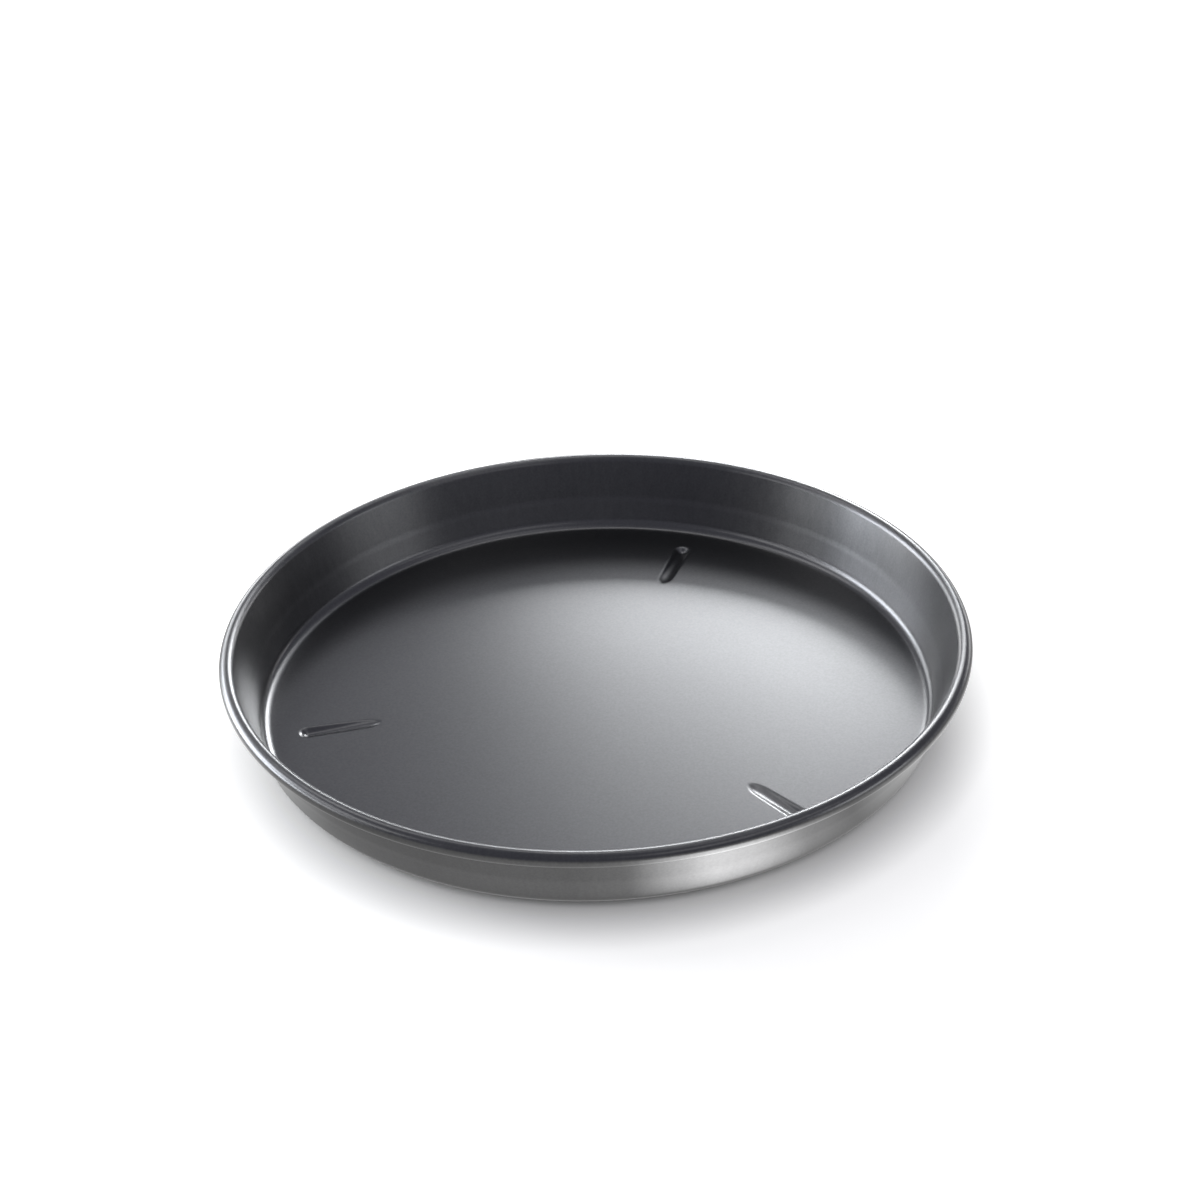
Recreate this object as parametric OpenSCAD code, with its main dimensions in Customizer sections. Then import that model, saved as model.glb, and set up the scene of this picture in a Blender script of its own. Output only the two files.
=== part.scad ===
// Deep dish pan of drawn aluminium sheet. Its wall leans outwards to a rim
// that is rolled round a steel wire, and its floor has pressed lugs.
// Millimetres, +Z up. The origin is on the pan's axis, on the surface that
// the pan stands on, and the lugs stand on that surface.

/* [Mouth] */
// Inside diameter across the mouth, between the inner sides of the rolled rim
mouth_d = 355.6; // [240:0.2:420]
// Inside depth, from the floor to the top of the rolled rim
inside_depth = 38.1; // [34:0.1:64]

/* [Sheet] */
// Thickness of the sheet that the pan is drawn from
sheet_t = 1.6; // [1.2:0.1:2]

/* [Wall] */
// Lean of the wall from upright, in degrees
wall_lean = 16.5; // [10:0.5:20]
// Inside radius of the corner between floor and wall
corner_r = 6.2; // [4:0.1:8]
// Height of the shoulder's middle above the floor
shoulder_z = 15.4; // [12:0.1:19]
// Height of the shoulder, from its lower to its upper bend
shoulder_h = 2.6; // [1.6:0.1:3.6]
// How far the shoulder steps the wall outwards
shoulder_step = 0.15; // [0.1:0.05:0.3]

/* [Rim] */
// Diameter of the steel wire inside the rolled rim
wire_d = 4.2; // [3:0.1:5]
// Clearance between the wire and the sheet round it
wire_clearance = 0.1; // [0.05:0.05:0.2]
// Gap between the rolled sheet's free edge and the wall
curl_gap = 0.15; // [0.1:0.05:0.3]

/* [Lugs] */
// Number of pressed lugs in the floor
lug_count = 3; // [3:1:6]
// Direction of the first lug, in degrees from +X
lug_turn = 70; // [0:0.2:120]
// Length of a lug, between its lips
lug_len = 39.4; // [24:0.2:48]
// Width of a lug, between its lips
lug_w = 7.6; // [6.8:0.1:10]
// Depth of a lug at its outer end
lug_depth = 2.2; // [1.8:0.1:3]
// Depth of a lug at its inner end
lug_inner_depth = 0.7; // [0.5:0.1:1.1]
// Flat floor between a lug's outer end and the corner
lug_margin = 13.5; // [8:0.1:20]

/* [Hidden] */
// Faces round the pan and round a lug or the wire
round_fn = 180;
lug_fn = 64;
// Largest turn between two points of an arc in the section, in degrees
arc_step = 6;
// Points along the shoulder's curve
shoulder_steps = 4;
// How full the cone between a lug's two ends is, so that it crosses them cleanly
waist_share = 0.995;

// Floor: the lugs stand out below it by their depth
base_z = lug_depth;
floor_z = base_z + sheet_t;

// Rolled rim: the sheet's outer radius and the bore that holds the wire
wire_bore_r = wire_d / 2 + wire_clearance;
bead_r = wire_bore_r + sheet_t;
bead_ring_r = mouth_d / 2 + bead_r;
bead_z = floor_z + inside_depth - bead_r;

// Corner: one centre for its inner and outer arcs, tangent to floor and wall
corner_outer_r = corner_r + sheet_t;
corner_z = floor_z + corner_r;
corner_ring_r = bead_ring_r
    - (sin(wall_lean) * (bead_z - corner_z) + bead_r + corner_r + shoulder_step) / cos(wall_lean);

// Wall: its foot is the corner's centre, and it runs along its own lean
wall_foot = [corner_ring_r, corner_z];
wall_up = [sin(wall_lean), cos(wall_lean)];
wall_out = [cos(wall_lean), -sin(wall_lean)];
shoulder_y = (floor_z + shoulder_z - corner_z + corner_r * sin(wall_lean)) / cos(wall_lean);

// Rolled edge: it ends square to the roll, just clear of the wall's outer face
bead_centre = [bead_ring_r, bead_z];
curl_start = 180 - wall_lean;
curl_end = -90 - wall_lean - asin((wire_bore_r - curl_gap) / bead_r);

// Lug: a ball end at each end, sized by its width and depth, and a tangent cone
lug_out_r = (lug_w * lug_w / 4 + lug_depth * lug_depth) / (2 * lug_depth);
lug_in_r = (lug_w * lug_w / 4 + lug_inner_depth * lug_inner_depth) / (2 * lug_inner_depth);
lug_out_x = corner_ring_r - lug_margin - lug_w / 2;
lug_in_x = lug_out_x - lug_len + lug_w;
lug_out_z = floor_z + lug_out_r - lug_depth;
lug_in_z = floor_z + lug_in_r - lug_inner_depth;
lug_run = norm([lug_out_x - lug_in_x, lug_out_z - lug_in_z]);
lug_dip = atan((lug_in_z - lug_out_z) / (lug_out_x - lug_in_x));
lug_taper = asin((lug_in_r - lug_out_r) / lug_run);

// Points along an arc, from one direction to another
function arc_points(centre, r, from, to) =
    let (n = ceil(abs(to - from) / arc_step))
    [for (i = [0 : n]) let (a = from + (to - from) * i / n) centre + r * [cos(a), sin(a)]];

// Shoulder on one face of the wall, from its lower to its upper bend
function shoulder_points(face) =
    [for (i = [0 : shoulder_steps]) let (share = i / shoulder_steps)
        wall_foot
            + wall_out * (face + shoulder_step * (1 - cos(180 * share)) / 2)
            + wall_up * (shoulder_y + shoulder_h * (share - 1 / 2))];

// The same points from the last to the first
function backwards(points) = [for (i = [len(points) - 1 : -1 : 0]) points[i]];

// One side of the rolled edge, with points at its top, outer side and bottom
function curl_points(r) = concat(
    arc_points(bead_centre, r, curl_start, 90),
    arc_points(bead_centre, r, 90, 0),
    arc_points(bead_centre, r, 0, -90),
    arc_points(bead_centre, r, -90, curl_end)
);

// Section of the sheet: along its inner face to the rolled edge, and back
module sheet_section() {
    polygon(concat(
        [[0, floor_z]],
        arc_points(wall_foot, corner_r, -90, -wall_lean),
        shoulder_points(corner_r),
        curl_points(bead_r),
        backwards(curl_points(wire_bore_r)),
        backwards(shoulder_points(corner_outer_r)),
        arc_points(wall_foot, corner_outer_r, -wall_lean, -90),
        [[0, base_z]]
    ));
}

// Ball end of a lug, turned so that its poles lie above the floor
module lug_end(x, z, r) {
    translate([x, 0, z])
        rotate([90, 0, 0])
            sphere(r = r, $fn = lug_fn);
}

// One lug along +X: its inside form, or its outside form when grown by the sheet
module lug_form(grow) {
    lug_end(lug_out_x, lug_out_z, lug_out_r + grow);
    lug_end(lug_in_x, lug_in_z, lug_in_r + grow);
    translate([lug_out_x, 0, lug_out_z])
        rotate([0, lug_dip - 90, 0])
            translate([0, 0, -(lug_out_r + grow) * sin(lug_taper)])
                cylinder(
                    h = lug_run - (lug_in_r - lug_out_r) * sin(lug_taper),
                    r1 = waist_share * (lug_out_r + grow) * cos(lug_taper),
                    r2 = waist_share * (lug_in_r + grow) * cos(lug_taper),
                    $fn = lug_fn
                );
}

// All the lugs, evenly spaced round the floor
module lugs(grow) {
    for (i = [0 : lug_count - 1])
        rotate(lug_turn + i * 360 / lug_count)
            lug_form(grow);
}

// Drawn body: floor, corner, wall and rolled rim in one sheet, with its lugs
module pan_body() {
    color("dimgray")
        difference() {
            union() {
                rotate_extrude($fn = round_fn)
                    sheet_section();
                intersection() {
                    lugs(sheet_t);
                    translate([0, 0, -sheet_t])
                        cylinder(h = floor_z + sheet_t / 2, r = corner_ring_r, $fn = round_fn);
                }
            }
            lugs(0);
        }
}

// Wire ring that stiffens the rolled rim
module rim_wire() {
    color("silver")
        rotate_extrude($fn = round_fn)
            translate([bead_ring_r, bead_z])
                circle(d = wire_d, $fn = lug_fn);
}

pan_body();
rim_wire();
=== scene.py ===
"""A dark anodised deep dish pan on a white table: the pan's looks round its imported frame."""
import math

import bpy
import numpy as np
from mathutils import Matrix, Vector


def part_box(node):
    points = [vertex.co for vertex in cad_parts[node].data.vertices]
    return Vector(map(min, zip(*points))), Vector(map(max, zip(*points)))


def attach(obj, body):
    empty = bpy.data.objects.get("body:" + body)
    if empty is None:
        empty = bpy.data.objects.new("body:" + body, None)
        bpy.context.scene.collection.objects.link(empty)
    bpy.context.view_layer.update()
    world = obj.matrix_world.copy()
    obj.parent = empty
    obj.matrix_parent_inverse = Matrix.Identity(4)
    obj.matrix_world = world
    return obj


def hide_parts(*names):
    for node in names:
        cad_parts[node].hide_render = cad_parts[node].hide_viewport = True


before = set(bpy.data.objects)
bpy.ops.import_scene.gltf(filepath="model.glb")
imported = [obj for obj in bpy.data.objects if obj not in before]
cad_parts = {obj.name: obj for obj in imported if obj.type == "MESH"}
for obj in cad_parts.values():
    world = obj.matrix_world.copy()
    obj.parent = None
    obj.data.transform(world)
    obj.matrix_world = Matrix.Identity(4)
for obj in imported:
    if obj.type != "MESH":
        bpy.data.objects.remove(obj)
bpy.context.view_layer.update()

MM = 0.001

# Sheet and wall
SHEET_T = 1.6 * MM
WALL_LEAN = math.radians(16.5)
CORNER_R = 6.2 * MM
SHOULDER_Z = 15.4 * MM
SHOULDER_H = 5.0 * MM
SHOULDER_STEP = 0.15 * MM

# Rolled rim
WIRE_D = 4.2 * MM
WIRE_CLEARANCE = 0.1 * MM
CURL_GAP = 0.15 * MM

# Lugs
LUG_COUNT = 3
LUG_TURN = math.radians(70)
LUG_LEN = 39.4 * MM
LUG_W = 7.6 * MM
LUG_DEPTH = 2.2 * MM
LUG_INNER_DEPTH = 0.7 * MM
LUG_MARGIN = 13.5 * MM
LUG_LIP_R = 3.5 * MM
LUG_SEEN_DEPTH = 2.15 * MM
LUG_INNER_STRETCH = 2.2

# Mesh steps, and the turn between two faces that makes a sharp edge
ARC_STEP = math.radians(5)
TURN_STEP = math.radians(1.5)
SHOULDER_STEPS = 8
LUG_STEP = 0.45 * MM
LUG_SIDE_STEP = 4 * LUG_STEP
FLOOR_STEP = 12 * MM
MARGIN_STEP = FLOOR_STEP / 4
SHARP_TURN = math.radians(50)

# Camera, from the photo: focal length and the base centre's place in a 1200 px frame
PHOTO_PX = 1200
FOCAL_PX = 2456.9
BASE_PX = (597.29, 694.83)
CAMERA_LIFT = math.radians(33.728)
CAMERA_ROLL = math.radians(-2.264)
CAMERA_DISTANCE_SHARE = 6.6752
SENSOR_MM = 36.0

# Anodised finish: roughness by part of the pan, and how far its highlights spread round the wall
ANODISED = (0.115, 0.115, 0.116)
ROUGHNESS = 0.28
RIM_ROUGHNESS = 0.29
WALL_ROUGHNESS = 0.33
WALL_SPREAD = 0.6
WALL_SPREAD_TURN = 0.25

# Where the finish of the wall and of the rim starts, as shares of the corner's and the rim's radius
WALL_START_SHARE = 0.2
RIM_START_SHARE = 0.8

# Patterns in the finish: draw streaks and broad bands on the wall, grain and mottle everywhere, and a
# lighter wall below the shoulder that is partly its smoother finish and partly painted sheen
STREAK_RISE = 1.5
STREAK_SCALE = 70.0
STREAK_DETAIL = 3.0
STREAK_ROUGHNESS = 0.05
STREAK_TONE = 0.22
STREAK_HEIGHT = 0.003 * MM
BAND_SCALE = 9.0
BAND_DETAIL = 1.0
BAND_TONE = 0.1
# lighter base colour below the shoulder: partly the smoother lower band, partly painted sheen for its
# brighter reflection
LOWER_BAND_TONE_AND_SHEEN = 0.14
GRAIN_SCALE = 900.0
GRAIN_DETAIL = 2.0
GRAIN_HEIGHT = 0.0008 * MM
GRAIN_TONE = 0.36
MOTTLE_SCALE = 60.0
MOTTLE_DETAIL = 2.0
MOTTLE_ROUGHNESS = 0.012

# Wire
STEEL = (0.6, 0.6, 0.61)
STEEL_ROUGHNESS = 0.35

# Table, in metres: its colour in the lamps' light, the even light added for the camera,
# the reach and depth of the painted shade under the pan, and its colour as the rest of the scene meets it
WHITE = (1, 1, 1, 1)
TABLE_HALF = 4.0
TABLE_COLOUR = (0.8, 0.79, 0.75)
TABLE_WHITE = 0.6
SHADE_REACH = 0.03
SHADE_POWER = 1.4
SHADE_SAMPLES = 16
TABLE_BOUNCE = (0.85, 0.85, 0.85)

# What the pan mirrors of the table: a plain level, and a painted glowing ring close to the pan that starts
# and ends over these distances from the axis, with its level by direction in degrees from +X; the ring
# paints the bright reflection on the outer wall
TABLE_LEVEL = 0.64
PAINTED_GLOW_START = (0.168, 0.178)
PAINTED_GLOW_END = (0.24, 0.32)
PAINTED_GLOW_TOP = 8.0
TABLE_PAINTED_GLOW = [
    (-180, 1.6), (-160, 0.56), (-140, 0.0), (-120, 0.08), (-105, 0.3), (-96, 0.3), (-86, 0.6),
    (-78, 3.1), (-72, 5.5), (-64, 4.3), (-55, 1.25), (-44, 0.2), (-36, 0.7), (-20, 1.1),
    (0, 0.5), (20, 0.0), (60, 0.0), (120, 0.0), (160, 0.0), (180, 1.6),
]

# Light: a dim room, and soft boxes with a name, azimuth and elevation in degrees, size, radiance and tint
ROOM = (0.27, 0.275, 0.33)
LAMP_DISTANCE = 1.5
NEUTRAL = (1, 1, 1)
COOL = (0.98, 1, 1.02)
BLUISH = (0.95, 0.99, 1.06)
SOFT_BOXES = [
    ("back_box", 80, 21, (0.42, 0.32), 5.7, COOL),
    ("back_box_left", 87, 21, (0.3, 0.3), 12.7, COOL),
    ("back_box_right", 75, 22, (0.3, 0.3), 16.6, COOL),
    ("back_high_box", 84, 32, (0.3, 0.24), 1.8, COOL),
    ("back_high_box_right", 72, 35, (0.42, 0.3), 1.85, COOL),
    ("back_high_box_left", 98, 34, (0.4, 0.3), 0.45, COOL),
    ("back_top_box", 84, 46, (0.4, 0.24), 0.8, COOL),
    ("back_low_box_left", 112, 9, (0.6, 0.24), 6.7, NEUTRAL),
    ("back_low_box_right", 50, 8, (0.8, 0.24), 4.0, NEUTRAL),
    ("left_box_back", 120, 21, (0.5, 0.36), 4.4, COOL),
    ("left_box", 141, 21, (0.5, 0.36), 12.0, BLUISH),
    ("left_box_front", 162, 21, (0.5, 0.36), 11.0, BLUISH),
    ("left_low_box_back", 132, 10, (0.4, 0.22), 2.3, NEUTRAL),
    ("left_low_box", 152, 6.5, (0.45, 0.32), 15.1, COOL),
    ("left_low_box_middle", 172, 6.5, (0.45, 0.32), 13.1, BLUISH),
    ("left_low_box_front", 192, 8, (0.45, 0.24), 4.1, COOL),
    ("left_high_box", 175, 33, (0.5, 0.26), 1.9, NEUTRAL),
    ("left_top_box", 140, 55, (0.5, 0.5), 1.8, NEUTRAL),
    ("top_box", 90, 65, (0.5, 0.4), 1.7, NEUTRAL),
    ("top_box_right", 0, 75, (0.6, 0.6), 0.5, NEUTRAL),
    ("front_left_box", -160, 30, (0.6, 0.4), 1.6, NEUTRAL),
    ("front_box", -60, 42, (0.7, 0.4), 0.65, NEUTRAL),
    ("right_high_box", -25, 46, (0.6, 0.4), 0.6, NEUTRAL),
    ("right_low_box_front", -15, 12, (0.8, 0.4), 2.1, COOL),
    ("right_low_box", 20, 8, (0.6, 0.24), 0.56, NEUTRAL),
]

# Values that follow from the sizes above and from the frame
PAN_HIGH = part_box("pan_body")[1]
BASE_Z = LUG_DEPTH
FLOOR_Z = BASE_Z + SHEET_T
WIRE_BORE_R = WIRE_D / 2 + WIRE_CLEARANCE
BEAD_R = WIRE_BORE_R + SHEET_T
BEAD_RING_R = PAN_HIGH.x - BEAD_R
BEAD_Z = PAN_HIGH.z - BEAD_R
CORNER_Z = FLOOR_Z + CORNER_R
WALL_UP = np.array([math.sin(WALL_LEAN), math.cos(WALL_LEAN)])
WALL_OUT = np.array([math.cos(WALL_LEAN), -math.sin(WALL_LEAN)])
CORNER_RING_R = BEAD_RING_R - (
    math.sin(WALL_LEAN) * (BEAD_Z - CORNER_Z) + BEAD_R + CORNER_R + SHOULDER_STEP
) / math.cos(WALL_LEAN)
WALL_FOOT = np.array([CORNER_RING_R, CORNER_Z])
BEAD_CENTRE = np.array([BEAD_RING_R, BEAD_Z])
SHOULDER_Y = (FLOOR_Z + SHOULDER_Z - CORNER_Z + CORNER_R * math.sin(WALL_LEAN)) / math.cos(WALL_LEAN)
CURL_START = math.pi - WALL_LEAN
CURL_END = -math.pi / 2 - WALL_LEAN - math.asin((WIRE_BORE_R - CURL_GAP) / BEAD_R)
LUG_OUTER_X = CORNER_RING_R - LUG_MARGIN - LUG_W / 2
LUG_INNER_X = LUG_OUTER_X - LUG_LEN + LUG_W


def arc(centre, r, start, end):
    """Points along an arc of the section, from one direction to another."""
    count = math.ceil(abs(end - start) / ARC_STEP)
    angles = np.linspace(start, end, count + 1)
    return centre + r * np.stack([np.cos(angles), np.sin(angles)], 1)


def shoulder(face):
    """Points along the wall's shoulder, on the face that lies this far from the corner's centre."""
    share = np.linspace(0, 1, SHOULDER_STEPS + 1)
    out = face + SHOULDER_STEP * (1 - np.cos(math.pi * share)) / 2
    up = SHOULDER_Y + SHOULDER_H * (share - 0.5)
    return WALL_FOOT + np.outer(out, WALL_OUT) + np.outer(up, WALL_UP)


def curl(r):
    """Points along one side of the rolled edge, with some at its top, outer side and bottom."""
    turns = [CURL_START, math.pi / 2, 0, -math.pi / 2, CURL_END]
    parts = [arc(BEAD_CENTRE, r, a, b)[:-1] for a, b in zip(turns, turns[1:])]
    last = BEAD_CENTRE + r * np.array([[math.cos(CURL_END), math.sin(CURL_END)]])
    return np.concatenate(parts + [last])


def floor_radii():
    """Rings of the floor, close together round the ends of the lugs."""
    ends = [LUG_INNER_X - LUG_W / 2, LUG_INNER_X, LUG_OUTER_X, LUG_OUTER_X + LUG_W / 2]
    lip = 2 * LUG_LIP_R
    stops = [
        (FLOOR_STEP, ends[0] - lip, FLOOR_STEP),
        (ends[0] - lip, ends[1], LUG_STEP),
        (ends[1], ends[2], LUG_SIDE_STEP),
        (ends[2], ends[3] + lip, LUG_STEP),
        (ends[3] + lip, CORNER_RING_R, MARGIN_STEP),
    ]
    rings = [np.linspace(a, b, math.ceil((b - a) / step), endpoint=False) for a, b, step in stops]
    return np.concatenate(rings)


def turn_angles():
    """Directions of the mesh columns, close together across each lug."""
    half = (LUG_W / 2 + 2 * LUG_LIP_R) / LUG_INNER_X
    fine = LUG_STEP / LUG_OUTER_X
    angles = []
    for i in range(LUG_COUNT):
        centre = LUG_TURN + 2 * math.pi * i / LUG_COUNT
        following = centre + 2 * math.pi / LUG_COUNT
        angles.append(np.arange(centre - half, centre + half, fine))
        gap = following - half - (centre + half)
        angles.append(np.linspace(centre + half, following - half, round(gap / TURN_STEP), endpoint=False))
    return np.concatenate(angles)


def lug_height(x, y, grow):
    """Height above the inner floor of a face of the sheet: its inner face, or its outer one when grown.

    Across a lug, the face is a round bowl that a round lip joins to the flat floor.
    """
    turn = np.arctan2(y, x) - LUG_TURN
    step = 2 * math.pi / LUG_COUNT
    turn = (turn + step / 2) % step - step / 2
    r = np.hypot(x, y)
    along, across = r * np.cos(turn), r * np.sin(turn)
    start = LUG_INNER_X + (LUG_INNER_STRETCH - 1) * LUG_W / 2
    nearest = np.clip(along, start, LUG_OUTER_X)
    share = (nearest - LUG_INNER_X) / (LUG_OUTER_X - LUG_INNER_X)
    depth = LUG_INNER_DEPTH + (LUG_SEEN_DEPTH - LUG_INNER_DEPTH) * share
    past = along - nearest
    d = np.hypot(np.where(past < 0, past / LUG_INNER_STRETCH, past), across)
    bowl = (LUG_W**2 / 4 + depth**2) / (2 * depth)
    centre = bowl - depth
    lip = np.sqrt((bowl + LUG_LIP_R) ** 2 - (centre + LUG_LIP_R) ** 2)
    inside = lip * (bowl + grow) / (bowl + LUG_LIP_R)
    low = centre - np.sqrt(np.maximum((bowl + grow) ** 2 - d**2, 0))
    fillet = LUG_LIP_R - grow
    mid = -LUG_LIP_R + np.sqrt(np.maximum(fillet**2 - np.maximum(lip - d, 0) ** 2, 0))
    return np.where(d < inside, low, np.where(d < lip, mid, -grow))


def revolve(name, rows, angles, grown):
    """A closed mesh of rings, from a point on the axis out and back to another.

    Each ring has a radius and a height. A ring of the floor also says how far its face is grown
    from the sheet's inner face, which gives its height with the lugs. Any other ring says None.
    """
    count = len(angles)
    cos, sin = np.cos(angles), np.sin(angles)
    verts = [(0, 0, FLOOR_Z)]
    for (r, z), grow in zip(rows, grown):
        x, y = r * cos, r * sin
        level = np.full(count, z) if grow is None else FLOOR_Z + lug_height(x, y, grow)
        verts.extend(zip(x, y, level))
    verts.append((0, 0, BASE_Z))
    faces = []
    for j in range(count):
        k = (j + 1) % count
        faces.append((0, 1 + j, 1 + k))
        for i in range(len(rows) - 1):
            a = 1 + i * count
            faces.append((a + j, a + count + j, a + count + k, a + k))
        a = 1 + (len(rows) - 1) * count
        faces.append((a + j, len(verts) - 1, a + k))
    mesh = bpy.data.meshes.new(name)
    mesh.from_pydata([tuple(map(float, v)) for v in verts], [], faces)
    mesh.update()
    mesh.polygons.foreach_set("use_smooth", [True] * len(mesh.polygons))
    return mesh


def make_pan():
    """The drawn body with its lips and bends rounded, in place of the plain CAD node."""
    radii = floor_radii()
    corner_in = arc(WALL_FOOT, CORNER_R, -math.pi / 2, -WALL_LEAN)
    corner_out = arc(WALL_FOOT, CORNER_R + SHEET_T, -WALL_LEAN, -math.pi / 2)
    wall = np.concatenate([
        corner_in,
        shoulder(CORNER_R),
        curl(BEAD_R),
        curl(WIRE_BORE_R)[::-1],
        shoulder(CORNER_R + SHEET_T)[::-1],
        corner_out,
    ])
    inner = [(r, FLOOR_Z) for r in radii]
    outer = [(r, BASE_Z) for r in radii[::-1]]
    rows = inner + [tuple(p) for p in wall] + outer
    grown = [0.0] * len(inner) + [None] * len(wall) + [SHEET_T] * len(outer)
    mesh = revolve("pan", rows, turn_angles(), grown)
    mesh.set_sharp_from_angle(angle=SHARP_TURN)
    pan = bpy.data.objects.new("pan", mesh)
    bpy.context.scene.collection.objects.link(pan)
    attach(pan, "root")
    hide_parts("pan_body")
    return pan


def node(tree, kind, settings=None, **inputs):
    """A shader node with some of its settings and inputs set, each input by a value or a link.

    An input is given by its name, or by i and its number where names repeat.
    """
    made = tree.nodes.new(kind)
    for name, value in (settings or {}).items():
        setattr(made, name, value)
    for name, value in inputs.items():
        socket = made.inputs[int(name[1:])] if name[0] == "i" and name[1:].isdigit() else made.inputs[name]
        if isinstance(value, bpy.types.NodeSocket):
            tree.links.new(value, socket)
        else:
            socket.default_value = value
    return made


def math_node(tree, operation, *values):
    """The output of a math node on these values or links."""
    inputs = {f"i{i}": value for i, value in enumerate(values)}
    return node(tree, "ShaderNodeMath", {"operation": operation}, **inputs).outputs["Value"]


def plus(tree, first, second):
    """The sum of two values or links."""
    return math_node(tree, "ADD", first, second)


def times(tree, first, second):
    """The product of two values or links."""
    return math_node(tree, "MULTIPLY", first, second)


def off_axis(tree, x, y):
    """The distance of a place from the pan's axis."""
    return math_node(tree, "SQRT", plus(tree, times(tree, x, x), times(tree, y, y)))


def blend(tree, value, low, high, start=0.0, end=1.0):
    """A smooth change from one number to another as a value goes from start to end."""
    made = node(
        tree, "ShaderNodeMapRange", {"interpolation_type": "SMOOTHSTEP"},
        **{"Value": value, "From Min": start, "From Max": end, "To Min": low, "To Max": high},
    )
    return made.outputs["Result"]


def noise(tree, place, scale, detail):
    """The output of a noise texture at a place."""
    made = node(tree, "ShaderNodeTexNoise", Vector=place, Scale=scale, Detail=detail)
    return made.outputs["Fac"]


def new_material(name):
    """A material with an empty Principled shader, its tree and that shader."""
    material = bpy.data.materials.new(name)
    material.use_nodes = True
    tree = material.node_tree
    return material, tree, tree.nodes["Principled BSDF"]


def vary(tree, value, patterns):
    """A value that patterns shift up and down, each by its own strength."""
    for pattern, strength in patterns:
        value = plus(tree, value, times(tree, math_node(tree, "SUBTRACT", pattern, 0.5), strength))
    return value


def anodised():
    """Dark satin anodised aluminium, with draw streaks up the wall and a fine grain."""
    material, tree, shader = new_material("pan_anodised")
    place = node(tree, "ShaderNodeTexCoord").outputs["Object"]
    split = node(tree, "ShaderNodeSeparateXYZ", Vector=place)
    x, y, z = (split.outputs[axis] for axis in "XYZ")
    radius = off_axis(tree, x, y)

    # Which part of the pan a place is on
    shoulder_low = FLOOR_Z + SHOULDER_Z - SHOULDER_H / 2
    on_wall = blend(tree, z, 0.0, 1.0, FLOOR_Z + WALL_START_SHARE * CORNER_R, FLOOR_Z + CORNER_R)
    on_rim = blend(tree, radius, 0.0, 1.0, BEAD_RING_R - RIM_START_SHARE * BEAD_R, BEAD_RING_R)
    below_rim = times(tree, on_wall, math_node(tree, "SUBTRACT", 1.0, on_rim))
    below_shoulder = times(tree, on_wall, blend(tree, z, 1.0, 0.0, shoulder_low, shoulder_low + SHOULDER_H))

    # Patterns: the first two run round the pan, stretched up the wall
    round_pan = node(
        tree, "ShaderNodeCombineXYZ",
        X=math_node(tree, "DIVIDE", x, radius),
        Y=math_node(tree, "DIVIDE", y, radius),
        Z=times(tree, z, STREAK_RISE),
    ).outputs["Vector"]
    streaks = noise(tree, round_pan, STREAK_SCALE, STREAK_DETAIL)
    bands = noise(tree, round_pan, BAND_SCALE, BAND_DETAIL)
    grain = noise(tree, place, GRAIN_SCALE, GRAIN_DETAIL)
    mottle = noise(tree, place, MOTTLE_SCALE, MOTTLE_DETAIL)

    rough = plus(tree, ROUGHNESS, times(tree, on_rim, RIM_ROUGHNESS - ROUGHNESS))
    rough = plus(tree, rough, times(tree, below_rim, WALL_ROUGHNESS - ROUGHNESS))
    rough = vary(tree, rough, [
        (streaks, times(tree, on_wall, STREAK_ROUGHNESS)),
        (mottle, MOTTLE_ROUGHNESS),
    ])
    tree.links.new(rough, shader.inputs["Roughness"])

    # the wall below the shoulder is made lighter: partly finish, partly painted sheen
    tone_and_sheen = plus(tree, 1.0, times(tree, below_shoulder, LOWER_BAND_TONE_AND_SHEEN))
    tone_and_sheen = vary(tree, tone_and_sheen, [
        (bands, times(tree, on_wall, BAND_TONE)),
        (streaks, times(tree, on_wall, STREAK_TONE)),
        (grain, GRAIN_TONE),
    ])
    scaled = node(tree, "ShaderNodeVectorMath", {"operation": "SCALE"}, Vector=ANODISED, Scale=tone_and_sheen)
    tree.links.new(scaled.outputs["Vector"], shader.inputs["Base Color"])

    streak_height = times(tree, streaks, times(tree, on_wall, STREAK_HEIGHT))
    height = plus(tree, streak_height, times(tree, grain, GRAIN_HEIGHT))
    bump = node(tree, "ShaderNodeBump", Strength=1.0, Distance=1.0, Height=height)
    tree.links.new(bump.outputs["Normal"], shader.inputs["Normal"])

    round_axis = node(tree, "ShaderNodeTangent", {"direction_type": "RADIAL", "axis": "Z"})
    tree.links.new(round_axis.outputs["Tangent"], shader.inputs["Tangent"])
    tree.links.new(times(tree, below_rim, WALL_SPREAD), shader.inputs["Anisotropic"])
    shader.inputs["Anisotropic Rotation"].default_value = WALL_SPREAD_TURN
    shader.inputs["Metallic"].default_value = 1.0
    return material


def steel():
    """Plain drawn steel wire."""
    material, tree, shader = new_material("wire_steel")
    shader.inputs["Base Color"].default_value = STEEL + (1,)
    shader.inputs["Metallic"].default_value = 1.0
    shader.inputs["Roughness"].default_value = STEEL_ROUGHNESS
    return material


def by_ray(tree, kind, other, seen):
    """One shader for a kind of ray, and the other for the rest."""
    rays = node(tree, "ShaderNodeLightPath")
    return node(tree, "ShaderNodeMixShader", i0=rays.outputs[kind], i1=other, i2=seen).outputs["Shader"]


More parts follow.
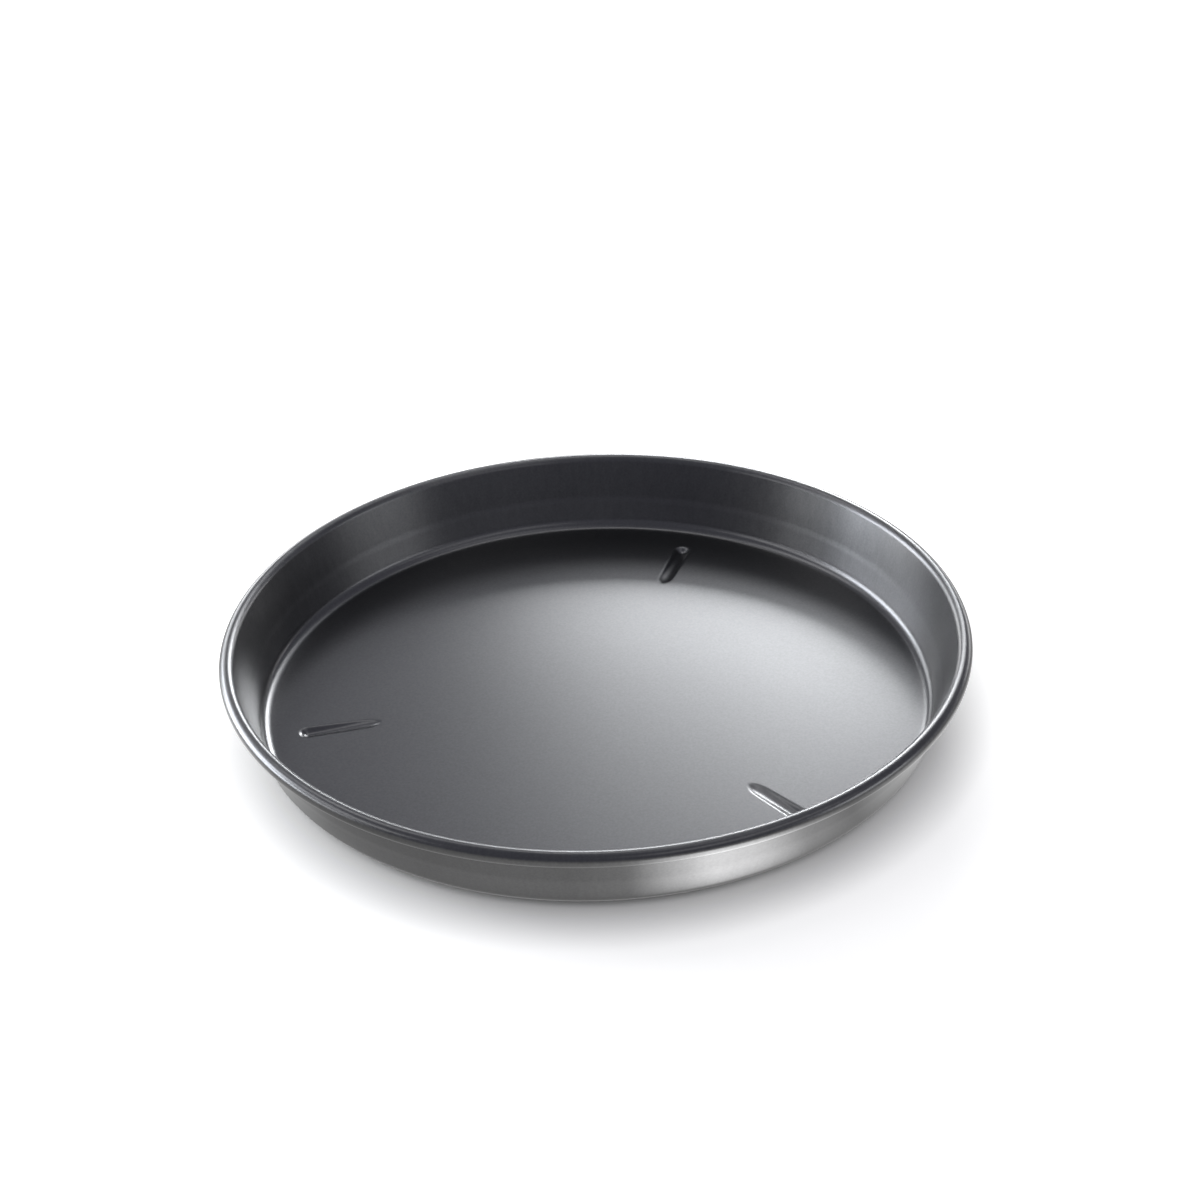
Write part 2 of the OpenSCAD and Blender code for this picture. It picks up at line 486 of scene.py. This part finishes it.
def mirrored_table_and_painted_glow(tree):
    """The table as the pan mirrors it: an even pale surface, with a painted glowing ring close to the pan
    that makes the bright patch on the outer wall.
    """
    place = node(tree, "ShaderNodeTexCoord").outputs["Object"]
    split = node(tree, "ShaderNodeSeparateXYZ", Vector=place)
    x, y = split.outputs["X"], split.outputs["Y"]
    turns = math_node(tree, "DIVIDE", math_node(tree, "ARCTAN2", y, x), 2 * math.pi)
    ramp = node(tree, "ShaderNodeValToRGB", Fac=plus(tree, turns, 0.5))
    stops = ramp.color_ramp.elements
    for azimuth, level in TABLE_PAINTED_GLOW:
        at = azimuth / 360 + 0.5
        stop = stops[0] if at == 0 else stops[-1] if at == 1 else stops.new(at)
        stop.color = (level / PAINTED_GLOW_TOP,) * 3 + (1,)
    radius = off_axis(tree, x, y)
    started = blend(tree, radius, 0.0, 1.0, *PAINTED_GLOW_START)
    not_ended = blend(tree, radius, 1.0, 0.0, *PAINTED_GLOW_END)
    # painted glow: a ring of light on the table that only reflections see, painting the bright patch on the
    # outer wall
    ring = times(tree, times(tree, started, not_ended), times(tree, ramp.outputs["Color"], PAINTED_GLOW_TOP))
    level_and_painted_glow = node(tree, "ShaderNodeEmission", Color=WHITE, Strength=plus(tree, TABLE_LEVEL, ring))
    return level_and_painted_glow.outputs["Emission"]


def seen_table(tree):
    """The table as the camera sees it: lit by the lamps, and by an even light that carries a painted shade
    near the pan.
    """
    open_sky = node(tree, "ShaderNodeAmbientOcclusion", {"samples": SHADE_SAMPLES}, Distance=SHADE_REACH)
    # painted shade: the even light is darkened near the pan by an occlusion test, not by a lamp's shadow
    shade = math_node(tree, "POWER", open_sky.outputs["AO"], SHADE_POWER)
    lit = node(tree, "ShaderNodeBsdfDiffuse", Color=TABLE_COLOUR + (1,)).outputs["BSDF"]
    fill = node(tree, "ShaderNodeEmission", Strength=times(tree, shade, TABLE_WHITE)).outputs["Emission"]
    return node(tree, "ShaderNodeAddShader", i0=lit, i1=fill).outputs["Shader"]


def make_floor():
    """A plain white table that takes the pan's shadow, with painted shade near the pan for the camera and a
    painted glowing ring that only the pan's reflections see.
    """
    mesh = bpy.data.meshes.new("table")
    corners = [(x * TABLE_HALF, y * TABLE_HALF, 0) for x, y in ((-1, -1), (1, -1), (1, 1), (-1, 1))]
    mesh.from_pydata(corners, [], [(0, 1, 2, 3)])
    table = bpy.data.objects.new("table", mesh)
    bpy.context.scene.collection.objects.link(table)
    material, tree, shader = new_material("white_table_painted_glow_and_shade")
    shader.inputs["Base Color"].default_value = TABLE_BOUNCE + (1,)
    shader.inputs["Roughness"].default_value = 1.0
    shader.inputs["Specular IOR Level"].default_value = 0.0
    plain = by_ray(tree, "Is Camera Ray", shader.outputs["BSDF"], seen_table(tree))
    # the pan's reflections see the table with its painted glowing ring
    surface = by_ray(tree, "Is Glossy Ray", plain, mirrored_table_and_painted_glow(tree))
    tree.links.new(surface, tree.nodes["Material Output"].inputs["Surface"])
    mesh.materials.append(material)
    return table


def make_camera():
    """The photo's camera: its focal length, height and roll, and the base centre's place in the frame."""
    reach = PAN_HIGH.x * CAMERA_DISTANCE_SHARE
    back = Vector((0, -math.cos(CAMERA_LIFT), math.sin(CAMERA_LIFT)))
    right = Vector((1, 0, 0))
    up = right.cross(-back)
    cos, sin = math.cos(CAMERA_ROLL), math.sin(CAMERA_ROLL)
    look = Matrix((cos * right + sin * up, -sin * right + cos * up, -back))
    half = PHOTO_PX / 2
    ray = Vector(((BASE_PX[0] - half) / FOCAL_PX, -(BASE_PX[1] - half) / FOCAL_PX, 1)).normalized()
    turn = ray.rotation_difference(Vector((0, 0, 1))).to_matrix()
    axes = turn.transposed() @ look
    data = bpy.data.cameras.new("camera")
    data.sensor_width = SENSOR_MM
    data.lens = FOCAL_PX * SENSOR_MM / PHOTO_PX
    camera = bpy.data.objects.new("camera", data)
    bpy.context.scene.collection.objects.link(camera)
    place = Matrix((axes[0], axes[1], -axes[2])).transposed().to_4x4()
    place.translation = back * reach + Vector((0, 0, BASE_Z))
    camera.matrix_world = place
    bpy.context.scene.camera = camera


def soft_box(name, azimuth, elevation, size, level, tint):
    """A rectangular lamp that faces the pan from a direction, in degrees from +X and above the table."""
    data = bpy.data.lights.new(name, "AREA")
    data.shape = "RECTANGLE"
    data.size, data.size_y = size
    data.energy = math.pi * size[0] * size[1] * level * max(tint)
    data.color = [part / max(tint) for part in tint]
    lamp = bpy.data.objects.new(name, data)
    bpy.context.scene.collection.objects.link(lamp)
    lamp.visible_camera = False
    a, e = math.radians(azimuth), math.radians(elevation)
    towards = Vector((math.cos(a) * math.cos(e), math.sin(a) * math.cos(e), math.sin(e)))
    lamp.location = towards * LAMP_DISTANCE
    lamp.rotation_euler = towards.to_track_quat("Z", "Y").to_euler()
    return lamp


def make_room():
    """A dim room that the camera sees as plain white."""
    world = bpy.data.worlds.new("room")
    bpy.context.scene.world = world
    world.use_nodes = True
    tree = world.node_tree
    room = tree.nodes["Background"]
    room.inputs["Color"].default_value = ROOM + (1,)
    white = node(tree, "ShaderNodeBackground", Color=WHITE).outputs["Background"]
    seen = by_ray(tree, "Is Camera Ray", room.outputs["Background"], white)
    tree.links.new(seen, tree.nodes["World Output"].inputs["Surface"])



pan = make_pan()
pan.data.materials.append(anodised())
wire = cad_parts["rim_wire"]
wire_steel = steel()
for spot in wire.material_slots:
    spot.material = wire_steel
make_floor()
make_camera()
make_room()
for box in SOFT_BOXES:
    soft_box(*box)

bpy.context.scene.view_settings.view_transform = "Standard"
